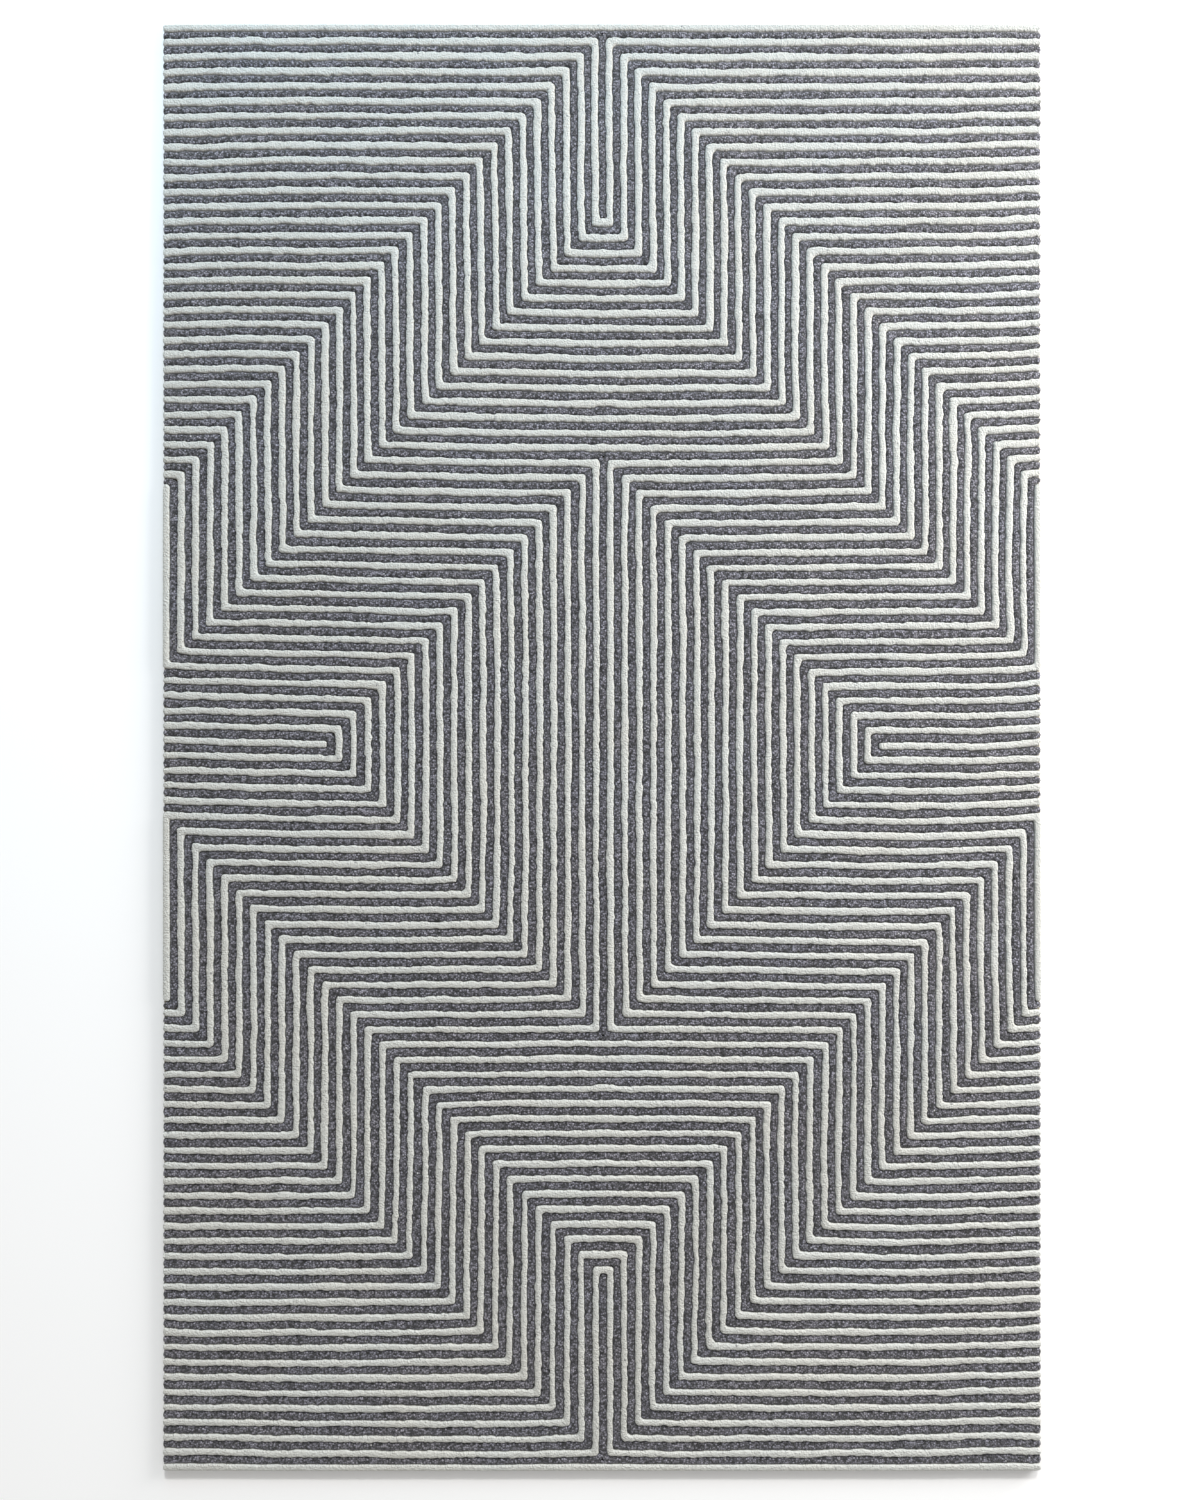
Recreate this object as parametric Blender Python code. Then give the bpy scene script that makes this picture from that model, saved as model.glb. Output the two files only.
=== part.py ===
"""Hand-tufted area rug with a carved maze pattern, in metres, +Z up.

The origin is the centre of the underside. +X runs across the rug and +Y along it.

The pattern is drawn in steps: one step is one ivory line plus one grey line. Every line has a number m, whole for
ivory and half-way between for grey, and m = 0 is the strip along each end. A line of the end families (m under 16.5)
crosses the rug and dips towards the middle in a narrow nest. A line of the side families (m over 16.5) comes in from
the side edge, goes round the nest's foot and back out. Line 16.5 is the one piece where the families meet.
"""

import bmesh
import bpy

# The rug
RUG_WIDTH = 1.524
RUG_LENGTH = 2.508
HALF_WIDTH_STEPS = 30.75
HALF_LENGTH_STEPS = 48.25
STEP_X = RUG_WIDTH / (2 * HALF_WIDTH_STEPS)
STEP_Y = RUG_LENGTH / (2 * HALF_LENGTH_STEPS)

# The maze, in steps
LAST_LINE = 36
MEETING_LINE = 16.5
NEST_DEPTH = 12.0
NEST_REACH = 16.0
HALF_LINE = 0.25
HALF_GROOVE = 0.03
LINES_IN_A_GROUP = 4

# Heights, from the floor up
GAP = 0.0003
HEM_THICKNESS = 0.0007
CLOTH_THICKNESS = 0.0007
LATEX_THICKNESS = 0.0013
SCRIM_THICKNESS = 0.0004
ADHESIVE_BASE = HEM_THICKNESS + GAP
TURNED_TOP = ADHESIVE_BASE + CLOTH_THICKNESS
SCRIM_BASE = TURNED_TOP + GAP
LATEX_BASE = SCRIM_BASE + SCRIM_THICKNESS + GAP
PRIMARY_BASE = LATEX_BASE + LATEX_THICKNESS + GAP
PRIMARY_TOP = PRIMARY_BASE + CLOTH_THICKNESS
PILE_BASE = PRIMARY_TOP + GAP
TOPS = {"ivory": 0.0155, "grey": 0.0140}

# The hem on the underside
TURNED_MARGIN = 0.030
TAPE_WIDTH = 0.040
TAPE_INSET = 0.0020
THREAD_RADIUS = 0.00035
THREAD_INSET = 0.0010
THREAD_HEIGHT = 0.00055

# The yarn carried along a side edge, which joins the lines of one group
CARRY_INSET = 0.0004
CARRY_WIDTH = 0.0030
CARRY_LOW = PILE_BASE + 0.0002
CARRY_HIGH = PILE_BASE + 0.0009

CLEAR_OF_ALL = 0.010

COLOURS = {
    "ivory_wool": (0.70, 0.71, 0.66),
    "grey_wool": (0.16, 0.16, 0.18),
    "primary_cloth": (0.62, 0.58, 0.48),
    "latex": (0.72, 0.68, 0.56),
    "scrim": (0.70, 0.69, 0.64),
    "backing_canvas": (0.66, 0.60, 0.48),
    "hem_tape": (0.58, 0.52, 0.41),
    "hem_thread": (0.74, 0.70, 0.60),
}


def clear_scene():
    """Remove whatever the open scene holds."""
    for obj in list(bpy.data.objects):
        bpy.data.objects.remove(obj, do_unlink=True)


def new_collection(name):
    """A collection linked to the scene."""
    collection = bpy.data.collections.new(name)
    bpy.context.scene.collection.children.link(collection)
    return collection


def make_material(name, colour):
    """A plain cloth-like material."""
    material = bpy.data.materials.new(name)
    material.use_nodes = True
    shader = material.node_tree.nodes["Principled BSDF"]
    shader.inputs["Base Color"].default_value = (*colour, 1.0)
    shader.inputs["Roughness"].default_value = 0.9
    shader.inputs["Metallic"].default_value = 0.0
    return material


def weld_to_mesh(obj):
    """Turn an object into a plain mesh object with its modifiers applied and its points welded."""
    name = obj.name
    depsgraph = bpy.context.evaluated_depsgraph_get()
    mesh = bpy.data.meshes.new_from_object(obj.evaluated_get(depsgraph))
    work = bmesh.new()
    work.from_mesh(mesh)
    bmesh.ops.remove_doubles(work, verts=work.verts, dist=1e-6)
    bmesh.ops.recalc_face_normals(work, faces=work.faces)
    work.to_mesh(mesh)
    work.free()
    solid = bpy.data.objects.new(name + "_solid", mesh)
    solid.matrix_world = obj.matrix_world
    bpy.context.scene.collection.objects.link(solid)
    bpy.data.objects.remove(obj, do_unlink=True)
    solid.name = name
    return solid


def flat_piece(name, outline, low, high):
    """A flat outline in metres, raised from low to high.

    The caps stay whole faces, because a filled curve would split the straight runs of a line into slivers.
    """
    work = bmesh.new()
    corners = [work.verts.new((x, y, low)) for x, y in outline]
    floor = work.faces.new(corners)
    raised = bmesh.ops.extrude_face_region(work, geom=[floor], use_keep_orig=True)
    lifted = [part for part in raised["geom"] if isinstance(part, bmesh.types.BMVert)]
    bmesh.ops.translate(work, vec=(0, 0, high - low), verts=lifted)
    bmesh.ops.recalc_face_normals(work, faces=work.faces)
    mesh = bpy.data.meshes.new(name)
    work.to_mesh(mesh)
    work.free()
    obj = bpy.data.objects.new(name, mesh)
    bpy.context.scene.collection.objects.link(obj)
    return obj


def box(name, low, high):
    """A box between two corners."""
    bpy.ops.mesh.primitive_cube_add(size=1.0)
    obj = bpy.context.object
    obj.name = name
    obj.scale = [b - a for a, b in zip(low, high)]
    obj.location = [(a + b) / 2 for a, b in zip(low, high)]
    bpy.ops.object.transform_apply(location=False, rotation=False, scale=True)
    return obj


def combine(base, other, operation):
    """Join a solid to the base, or cut it out of the base, and use it up."""
    modifier = base.modifiers.new("combine", "BOOLEAN")
    modifier.operation = operation
    modifier.object = other
    modifier.solver = "EXACT"
    solid = weld_to_mesh(base)
    bpy.data.objects.remove(other, do_unlink=True)
    return solid


# ---------------------------------------------------------------- the pattern


def end_path(m):
    """Half of an end line's outline, from the left edge to the right edge, in steps."""
    w = HALF_WIDTH_STEPS
    reach = m - 0.5
    outer = LAST_LINE + NEST_DEPTH - m
    inner = LAST_LINE - m
    if reach <= 0:
        return [(-w, outer), (w, outer)]
    dip = [(-reach, outer), (-reach, inner), (reach, inner), (reach, outer)]
    return [(-w, outer), *dip, (w, outer)]


def side_path(m):
    """Half of a right-hand side line's outline, from the upper end down to the lower end, in steps."""
    w = HALF_WIDTH_STEPS
    reach = m - 0.5
    foot = reach - NEST_REACH
    outer = LAST_LINE + NEST_DEPTH - m
    inner = LAST_LINE - m
    if reach >= w - 2 * HALF_GROOVE:
        upper = [(w, inner), (foot, inner)]
    else:
        upper = [(w, outer), (reach, outer), (reach, inner), (foot, inner)]
    lower = [(u, -v) for u, v in reversed(upper)]
    return upper + lower


def line_outline(m, path):
    """The closed outline of line m, narrowed by half a groove on each side, in steps."""
    low = m - HALF_LINE + HALF_GROOVE
    high = m + HALF_LINE - HALF_GROOVE
    if m == 0:
        low = -HALF_LINE
    first = path(low)
    if m == LAST_LINE:
        return first
    return first + path(high)[::-1]


def centre_outline():
    """The outline of the piece where all four families meet, in steps."""
    end = end_path(MEETING_LINE - HALF_LINE + HALF_GROOVE)
    side = side_path(MEETING_LINE + HALF_LINE - HALF_GROOVE)
    far_end = [(u, -v) for u, v in reversed(end)]
    far_side = [(-u, v) for u, v in reversed(side)]
    return end + side + far_end + far_side


def edge_height(m):
    """How far up the side edge line m ends, in steps."""
    if m - 0.5 < HALF_WIDTH_STEPS:
        return LAST_LINE + NEST_DEPTH - m
    return LAST_LINE - m


def to_metres(outline, flip_x=1, flip_y=1):
    """Scale an outline from steps to metres, mirrored where a flip is -1."""
    return [(flip_x * u * STEP_X, flip_y * v * STEP_Y) for u, v in outline]


# ---------------------------------------------------------------- the pile


def carried_yarn(name, side, heights):
    """The yarn carried along a side edge, between the outermost and innermost line of a group."""
    outer = side * (RUG_WIDTH / 2 - CARRY_INSET)
    inner = outer - side * CARRY_WIDTH
    low = (min(outer, inner), min(heights) * STEP_Y, CARRY_LOW)
    high = (max(outer, inner), max(heights) * STEP_Y, CARRY_HIGH)
    return box(name, low, high)


def room_for_yarn(name, side, heights):
    """The space cut out of the lines that the other colour's carried yarn runs under."""
    outer = side * (RUG_WIDTH / 2 + CLEAR_OF_ALL)
    inner = side * (RUG_WIDTH / 2 - CARRY_INSET - CARRY_WIDTH - GAP)
    low = (min(outer, inner), (min(heights) - HALF_LINE) * STEP_Y, PILE_BASE - CLEAR_OF_ALL)
    high = (max(outer, inner), (max(heights) + HALF_LINE) * STEP_Y, CARRY_HIGH + GAP)
    return box(name, low, high)


def joined_lines(name, outlines, top, yarn, room):
    """One node: the lines of a group, joined by their carried yarn and cut back over the other colour's."""
    body = yarn
    for outline in outlines:
        body = combine(body, flat_piece(name + "_line", outline, PILE_BASE, top), "UNION")
    return combine(body, room, "DIFFERENCE")


def end_group(name, colour, lines, flip_y):
    """A group of end lines. Ivory yarn is carried along the left edge and grey along the right one."""
    side = -1 if colour == "ivory" else 1
    heights = [flip_y * edge_height(m) for m in lines]
    outlines = [to_metres(line_outline(m, end_path), 1, flip_y) for m in lines]
    yarn = carried_yarn(name, side, heights)
    room = room_for_yarn(name + "_room", -side, heights)
    return joined_lines(name, outlines, TOPS[colour], yarn, room)


def side_group(name, colour, lines, flip_x):
    """A group of side lines. Ivory yarn is carried along the edge's upper half and grey along its lower half."""
    half = 1 if colour == "ivory" else -1
    heights = [half * edge_height(m) for m in lines]
    outlines = [to_metres(line_outline(m, side_path), flip_x, 1) for m in lines]
    yarn = carried_yarn(name, flip_x, heights)
    room = room_for_yarn(name + "_room", flip_x, [-v for v in heights if v])
    return joined_lines(name, outlines, TOPS[colour], yarn, room)


def groups_of(lines):
    """Split a list of lines into groups, outermost first."""
    return [lines[i:i + LINES_IN_A_GROUP] for i in range(0, len(lines), LINES_IN_A_GROUP)]


def make_groups(colour, lines):
    """All the grouped lines of one colour, in the four families."""
    pieces = []
    end_lines = [m for m in lines if m < MEETING_LINE]
    side_lines = [m for m in lines if m > MEETING_LINE]
    for place, flip in (("top", 1), ("bottom", -1)):
        for number, group in enumerate(groups_of(end_lines), start=1):
            pieces.append(end_group(f"{colour}_pile_{place}_{number}", colour, group, flip))
    for place, flip in (("left", -1), ("right", 1)):
        for number, group in enumerate(groups_of(side_lines), start=1):
            pieces.append(side_group(f"{colour}_pile_{place}_{number}", colour, group, flip))
    return pieces


def make_ivory():
    """The ivory lines, with the plain strip along each end of the rug."""
    pieces = make_groups("ivory", range(1, LAST_LINE + 1))
    for place, flip in (("top", 1), ("bottom", -1)):
        outline = to_metres(line_outline(0, end_path), 1, flip)
        pieces.append(flat_piece(f"ivory_pile_edge_{place}", outline, PILE_BASE, TOPS["ivory"]))
    return pieces


def make_grey():
    """The grey lines, with the one in the middle that all four families share."""
    pieces = make_groups("grey", [n + 0.5 for n in range(LAST_LINE)])
    pieces.append(flat_piece("grey_pile_centre", to_metres(centre_outline()), PILE_BASE, TOPS["grey"]))
    return pieces


# ---------------------------------------------------------------- the layers under the pile


def layer(name, inset, low, high):
    """A rectangular layer, inset from the rug's edge."""
    x = RUG_WIDTH / 2 - inset
    y = RUG_LENGTH / 2 - inset
    return box(name, (-x, -y, low), (x, y, high))


def make_primary_cloth():
    """The tufted cloth, whose margin wraps down and turns under the layers below it."""
    body = layer("primary_cloth", 0, ADHESIVE_BASE, PRIMARY_TOP)
    pocket = layer("pocket", CLOTH_THICKNESS, TURNED_TOP, PRIMARY_BASE)
    window = layer("window", TURNED_MARGIN, ADHESIVE_BASE - CLEAR_OF_ALL, (TURNED_TOP + PRIMARY_BASE) / 2)
    body = combine(body, window, "DIFFERENCE")
    return combine(body, pocket, "DIFFERENCE")


def make_inner_layers():
    """The latex, the scrim, the adhesive and the backing cloth."""
    inside = CLOTH_THICKNESS + GAP
    latex = layer("latex_coat", inside, LATEX_BASE, LATEX_BASE + LATEX_THICKNESS)
    scrim = layer("scrim_cloth", inside, SCRIM_BASE, SCRIM_BASE + SCRIM_THICKNESS)
    adhesive = layer("adhesive_coat", TURNED_MARGIN + GAP, ADHESIVE_BASE, TURNED_TOP)
    backing = layer("backing_cloth", TAPE_INSET + TAPE_WIDTH + GAP, 0, HEM_THICKNESS)
    return latex, scrim, adhesive, backing


def tape_outline(half_length, half_reach):
    """A mitred tape along +Y's end of the rug: half_length from centre to corner, half_reach from centre to edge."""
    mitre = GAP / 2
    outer = half_length - mitre
    inner = half_length - TAPE_WIDTH - mitre
    low = half_reach - TAPE_WIDTH
    return [(-outer, half_reach), (outer, half_reach), (inner, low), (-inner, low)]


def make_hem_tapes():
    """Four mitred tapes round the underside."""
    x = RUG_WIDTH / 2 - TAPE_INSET
    y = RUG_LENGTH / 2 - TAPE_INSET
    end = tape_outline(x, y)
    side = [(v, u) for u, v in tape_outline(y, x)]
    outlines = {
        "hem_tape_top": end,
        "hem_tape_bottom": [(u, -v) for u, v in end],
        "hem_tape_right": side,
        "hem_tape_left": [(-u, v) for u, v in side],
    }
    return [flat_piece(name, outline, 0, HEM_THICKNESS) for name, outline in outlines.items()]


def make_thread(name, start, end):
    """One hem thread, a round tube with closed ends."""
    curve = bpy.data.curves.new(name, "CURVE")
    curve.dimensions = "3D"
    curve.bevel_depth = THREAD_RADIUS
    curve.bevel_resolution = 2
    curve.use_fill_caps = True
    curve.resolution_u = 1
    spline = curve.splines.new("POLY")
    spline.points.add(1)
    for point, place in zip(spline.points, (start, end)):
        point.co = (*place, 1.0)
    obj = bpy.data.objects.new(name, curve)
    bpy.context.scene.collection.objects.link(obj)
    return weld_to_mesh(obj)


def make_hem_threads():
    """A thread along each side, just outside the tapes."""
    x = RUG_WIDTH / 2 - THREAD_INSET
    y = RUG_LENGTH / 2 - THREAD_INSET
    short_x = x - 2 * THREAD_RADIUS
    z = THREAD_HEIGHT
    return [
        make_thread("hem_thread_top", (-short_x, y, z), (short_x, y, z)),
        make_thread("hem_thread_bottom", (-short_x, -y, z), (short_x, -y, z)),
        make_thread("hem_thread_right", (x, -y, z), (x, y, z)),
        make_thread("hem_thread_left", (-x, -y, z), (-x, y, z)),
    ]


def main():
    """Model the rug and put every piece in the rug's collection with its material."""
    clear_scene()
    rug = new_collection("area_rug")
    materials = {name: make_material(name, colour) for name, colour in COLOURS.items()}
    latex, scrim, adhesive, backing = make_inner_layers()
    made = {
        "ivory_wool": make_ivory(),
        "grey_wool": make_grey(),
        "primary_cloth": [make_primary_cloth()],
        "latex": [latex, adhesive],
        "scrim": [scrim],
        "backing_canvas": [backing],
        "hem_tape": make_hem_tapes(),
        "hem_thread": make_hem_threads(),
    }
    for slot, pieces in made.items():
        for piece in pieces:
            piece.data.materials.clear()
            piece.data.materials.append(materials[slot])
            for collection in list(piece.users_collection):
                collection.objects.unlink(piece)
            rug.objects.link(piece)


main()
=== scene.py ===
"""Looks of the hand-tufted area rug: carved wool pile, cloth layers, camera, floor and light.

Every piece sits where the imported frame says. The pile is drawn from the same maze rule as the CAD. A line
has a number m, whole for ivory and half-way between for grey. Places are in steps from the rug's middle.
"""

import math

import bpy
import numpy as np
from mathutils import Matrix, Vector


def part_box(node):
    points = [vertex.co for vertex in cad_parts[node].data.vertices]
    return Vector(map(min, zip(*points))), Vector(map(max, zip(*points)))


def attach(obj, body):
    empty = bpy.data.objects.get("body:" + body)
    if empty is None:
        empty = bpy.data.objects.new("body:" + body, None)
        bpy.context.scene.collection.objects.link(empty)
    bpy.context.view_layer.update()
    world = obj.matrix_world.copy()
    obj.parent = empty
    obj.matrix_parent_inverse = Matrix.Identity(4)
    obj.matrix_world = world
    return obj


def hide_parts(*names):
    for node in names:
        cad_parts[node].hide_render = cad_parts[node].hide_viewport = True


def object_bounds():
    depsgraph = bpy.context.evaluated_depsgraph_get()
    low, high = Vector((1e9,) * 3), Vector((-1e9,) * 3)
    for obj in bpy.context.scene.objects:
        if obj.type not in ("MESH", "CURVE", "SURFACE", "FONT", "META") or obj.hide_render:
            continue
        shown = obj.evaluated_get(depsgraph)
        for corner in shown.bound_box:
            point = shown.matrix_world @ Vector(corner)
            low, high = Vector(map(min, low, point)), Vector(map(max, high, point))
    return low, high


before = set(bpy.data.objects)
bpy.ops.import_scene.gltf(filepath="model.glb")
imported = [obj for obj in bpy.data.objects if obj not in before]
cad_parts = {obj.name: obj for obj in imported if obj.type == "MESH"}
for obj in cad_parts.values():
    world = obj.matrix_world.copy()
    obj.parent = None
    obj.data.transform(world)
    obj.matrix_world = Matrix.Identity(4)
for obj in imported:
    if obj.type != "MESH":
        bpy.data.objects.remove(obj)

CAD_BOX = [list(corner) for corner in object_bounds()]
CAD_LOW, CAD_HIGH = (Vector(corner) for corner in CAD_BOX)

# The maze, in steps. A line's bends lie BEND_SHIFT inside its number, and HALF_LINE is half a line's width.
HALF_WIDTH_STEPS = 30.75
HALF_LENGTH_STEPS = 48.25
STEP_X = (CAD_HIGH.x - CAD_LOW.x) / (2 * HALF_WIDTH_STEPS)
STEP_Y = (CAD_HIGH.y - CAD_LOW.y) / (2 * HALF_LENGTH_STEPS)
LAST_LINE = 36
MEETING_LINE = 16.5
NEST_DEPTH = 12.0
NEST_REACH = 16.0
BEND_SHIFT = 0.5
HALF_LINE = 0.25
LINES_IN_A_GROUP = 4

# The pile's section from a groove to the crown: (share of half a line's width, metres below the pile's top)
SECTION = (
    (0.05, 0.0050),
    (0.09, 0.0028),
    (0.16, 0.0014),
    (0.29, 0.00065),
    (0.50, 0.00024),
    (0.75, 0.00005),
    (1.00, 0.0),
)
FOOT_SHARE = 0.03

# The mesh's rows along a line, how often its corners are softened, and the distance that counts as none
ROW_LENGTH = 0.0028
CORNER_PASSES = 5
SAME_PLACE = 5e-6

# How far the hand-guided lines wander, together and each groove by itself: (reach, size of the waves), metres
SHARED_WANDER = ((0.0017, 0.170), (0.0007, 0.050))
OWN_WANDER = ((0.0010, 0.110), (0.0009, 0.040), (0.0009, 0.012), (0.0012, 0.0042))

# How uneven the shearing leaves the pile's top: (rise, size of the waves), metres
UNEVEN_TOP = ((0.00030, 0.200), (0.00025, 0.030), (0.00022, 0.0045))

# Within EDGE_CALM of an edge, movement across that edge dies down to EDGE_LEFTOVER of its size elsewhere
EDGE_CALM = 0.030
EDGE_LEFTOVER = 0.12

# The pattern sits a little off the rug's middle. Its lines rise in the upper half and towards both sides.
SIDE_SHIFT = 0.0030
LEFT_LIFT = 0.0125
RIGHT_LIFT = 0.0095
RIGHT_LIFT_UPWARD = 0.2
CENTRE_PINCH = 0.0050

# The lift between the sides: its share half-way across, its fading to the right, and its peak along the rug
MIDDLE_LIFT = 0.0055
HALF_WAY_SHARE = 0.8
FADE_TO_RIGHT = 0.5
LIFT_PEAK = 0.45
FADE_FROM_PEAK = 0.8

# The share that ivory lines give up to grey ones in the rug's middle, and how it grows towards the lower end
IVORY_NARROWING = 0.020
IVORY_TAPER = 0.078

# The seed of each noise, so that no two are alike
OWN_SEED = 11
SHARED_SEED = 31
TOP_SEED = 61
EDGE_RIPPLE_SEED = 81
TAPE_SEED = 95
STITCH_SEED = 97

# Wool tufts as the material shows them: their size, and how far they are drawn out along the pile's height
TUFT_SIZE = 0.0031
UPRIGHT_STRETCH = 0.15

# How often the wool's fibres, clumps and slow shades repeat in a metre, and the range noise mostly keeps to
FIBRE_SCALE = 900.0
CLUMP_SCALE = 110.0
SHADE_SCALE = 7.0
NOISE_RANGE = (0.3, 0.7)

# The tufts with a random value in this range fade to the other colour, up to half-way
STRAY_RANGE = (0.991, 0.999)

# Painted shade in the wool's colour: how dark the groove's foot is painted, and how dark the gaps between
# tufts are painted for the spread of their shade
FOOT_PAINTED_SHADE = 0.10
GAP_PAINTED_SHADE = 0.85

# The cloth layers under the pile. LAYER_DENTS holds (share of the unevenness, size of its waves, seed).
SIDES = ("top", "bottom", "left", "right")
CLOTH = 0.0007
ROLL_RADIUS = 0.0010
ROLL_BEND = 0.3
TURNED_MARGIN = 0.030
RIPPLE = 0.00025
RIPPLE_SIZE = 0.009
CLOTH_ROW = 0.004
LAYER_ROW = 0.020
LAYER_SINK = 0.00020
LAYER_DENTS = ((0.6, 0.023, 91), (0.4, 0.006, 92))
TAPE_INSET = 0.0020
TAPE_WIDTH = 0.040
TAPE_WAVE = 0.0004
TAPE_WAVE_SIZE = 0.06
TAPE_ROWS = 10
TAPE_SINK = 0.00020
THREAD_RADIUS = 0.00032
THREAD_SIDES = 6
STITCH_PITCH = 0.0085
STITCH_LENGTH = 0.0045
STITCH_JITTER = 0.12
STITCH_JITTER_SIZE = 0.004
RUNNING_INSET = 0.0035
HEM_CORNER = 0.004

# One overcast stitch, as shares of its length, insets from the rug's edge and heights above the underside
OVERCAST_SHARES = (0.0, 0.22, 0.50, 0.66, 0.86)
OVERCAST_INSETS = (0.0010, 0.0028, 0.0060, 0.0066, 0.0022)
OVERCAST_HEIGHTS = (0.00060, 0.00036, 0.00034, 0.00048, 0.00060)

# One running stitch, as shares of its half length, heights above the underside and shares of its radius
RUNNING_SHARES = (-1.0, -0.8, 0.0, 0.8, 1.0)
RUNNING_HEIGHTS = (0.00055, 0.00038, 0.00030, 0.00038, 0.00055)
RUNNING_RADII = (0.3, 0.9, 1.0, 0.9, 0.3)

# The camera's lens and sensor in millimetres, the length it sees at the pile's top, and its place
LENS = 29.0
SENSOR = 36.0
SEEN_LENGTH = 2.5975
CAMERA_X = -0.0035
CAMERA_Y = -0.0043

# The floor's size and its drop below the rug's underside
FLOOR_SIZE = 120.0
FLOOR_DROP = 0.0003

# The surround's strength at the horizon and overhead, and the height on its unit sphere where that begins
HORIZON_LIGHT = 0.74
OVERHEAD_LIGHT = 0.47
OVERHEAD_FROM = 0.45


# ------------------------------------------------------------------------------------ smooth noise


def lattice_values(cell_x, cell_y, key, seed):
    """A repeatable value from -1 to 1 for each whole-number cell and key. The large primes mix the bits."""
    mixed = (cell_x * 73856093) ^ (cell_y * 19349663) ^ (key * 83492791) ^ (seed * 49979687)
    mixed = (mixed ^ (mixed >> 13)) * 1274126177
    return ((mixed ^ (mixed >> 16)) & 0xFFFFFF) / float(0x7FFFFF) - 1.0


def noise_at(xy, key, size, seed):
    """Smooth noise from -1 to 1 over the rug with waves of one size, different for each key."""
    cells = np.floor(xy / size)
    part = xy / size - cells
    across, along = (part * part * (3 - 2 * part)).T
    x, y = cells.astype(np.int64).T
    key = np.round(np.asarray(key) * 100).astype(np.int64)
    rows = []
    for row in (y, y + 1):
        start, end = (lattice_values(column, row, key, seed) for column in (x, x + 1))
        rows.append(start * (1 - across) + end * across)
    near, far = rows
    return near * (1 - along) + far * along


# ------------------------------------------------------------------------------------ materials


def new_material(name):
    """A node material: (material, its node tree, its shader)."""
    material = bpy.data.materials.new(name)
    material.use_nodes = True
    tree = material.node_tree
    shader = tree.nodes["Principled BSDF"]
    shader.inputs["Metallic"].default_value = 0.0
    return material, tree, shader


def add(tree, kind, **values):
    """A node with its sockets set to values."""
    node = tree.nodes.new(kind)
    for socket, value in values.items():
        node.inputs[socket].default_value = value
    return node


def noise(tree, place, scale, detail, roughness):
    """A noise texture's value."""
    node = add(tree, "ShaderNodeTexNoise", Scale=scale, Detail=detail, Roughness=roughness)
    tree.links.new(place, node.inputs["Vector"])
    return node.outputs["Fac"]


def remap(tree, value, low, high, to_low, to_high):
    """A value stretched from one range to another."""
    node = tree.nodes.new("ShaderNodeMapRange")
    for key, number in (("From Min", low), ("From Max", high), ("To Min", to_low), ("To Max", to_high)):
        node.inputs[key].default_value = number
    tree.links.new(value, node.inputs["Value"])
    return node.outputs["Result"]


def spread_noise(tree, value, to_low, to_high):
    """A noise's value stretched from the range that it mostly keeps to."""
    return remap(tree, value, *NOISE_RANGE, to_low, to_high)


def combine_values(tree, operation, first, second):
    """Two values through one Math node. Either may be a plain number."""
    node = tree.nodes.new("ShaderNodeMath")
    node.operation = operation
    for socket, value in zip(node.inputs, (first, second)):
        if isinstance(value, (int, float)):
            socket.default_value = value
        else:
            tree.links.new(value, socket)
    return node.outputs["Value"]


def tint(tree, colour, value):
    """A colour made darker or lighter by a value near 1."""
    node = tree.nodes.new("ShaderNodeVectorMath")
    node.operation = "SCALE"
    tree.links.new(colour, node.inputs[0])
    tree.links.new(value, node.inputs["Scale"])
    return node.outputs["Vector"]


def blend_values(tree, share, first, second):
    """A mix of two values by a third."""
    node = tree.nodes.new("ShaderNodeMix")
    tree.links.new(share, node.inputs[0])
    tree.links.new(first, node.inputs[2])
    tree.links.new(second, node.inputs[3])
    return node.outputs[0]


def blend_colours(tree, share, first, second):
    """A mix of two colours by a value. Either colour may be plain numbers."""
    node = tree.nodes.new("ShaderNodeMix")
    node.data_type = "RGBA"
    tree.links.new(share, node.inputs["Factor"])
    for key, colour in (("A", first), ("B", second)):
        socket = next(x for x in node.inputs if x.name == key and x.type == "RGBA")
        if isinstance(colour, tuple):
            socket.default_value = (*colour, 1.0)
        else:
            tree.links.new(colour, socket)
    return next(x for x in node.outputs if x.type == "RGBA")


def bump(tree, height, distance):
    """A bump from a height value."""
    node = add(tree, "ShaderNodeBump", Strength=1.0, Distance=distance)
    tree.links.new(height, node.inputs["Height"])
    return node.outputs["Normal"]


def stretched(tree, place, scale):
    """A place scaled by its own amount along each axis."""
    node = add(tree, "ShaderNodeMapping", Scale=scale)
    tree.links.new(place, node.inputs["Vector"])
    return node.outputs["Vector"]


def height_of(tree, place):
    """The height of a place or of a direction."""
    node = tree.nodes.new("ShaderNodeSeparateXYZ")
    tree.links.new(place, node.inputs["Vector"])
    return node.outputs["Z"]


def tuft_cells(tree, place, tuft_size):
    """Cells the size of a tuft: (two random values for each, the distance from its middle in tuft sizes)."""
    cells = add(tree, "ShaderNodeTexVoronoi", Scale=1.0 / tuft_size, Randomness=1.0)
    tree.links.new(place, cells.inputs["Vector"])
    values = tree.nodes.new("ShaderNodeSeparateColor")
    tree.links.new(cells.outputs["Color"], values.inputs["Color"])
    return values.outputs["Red"], values.outputs["Green"], cells.outputs["Distance"]


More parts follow.
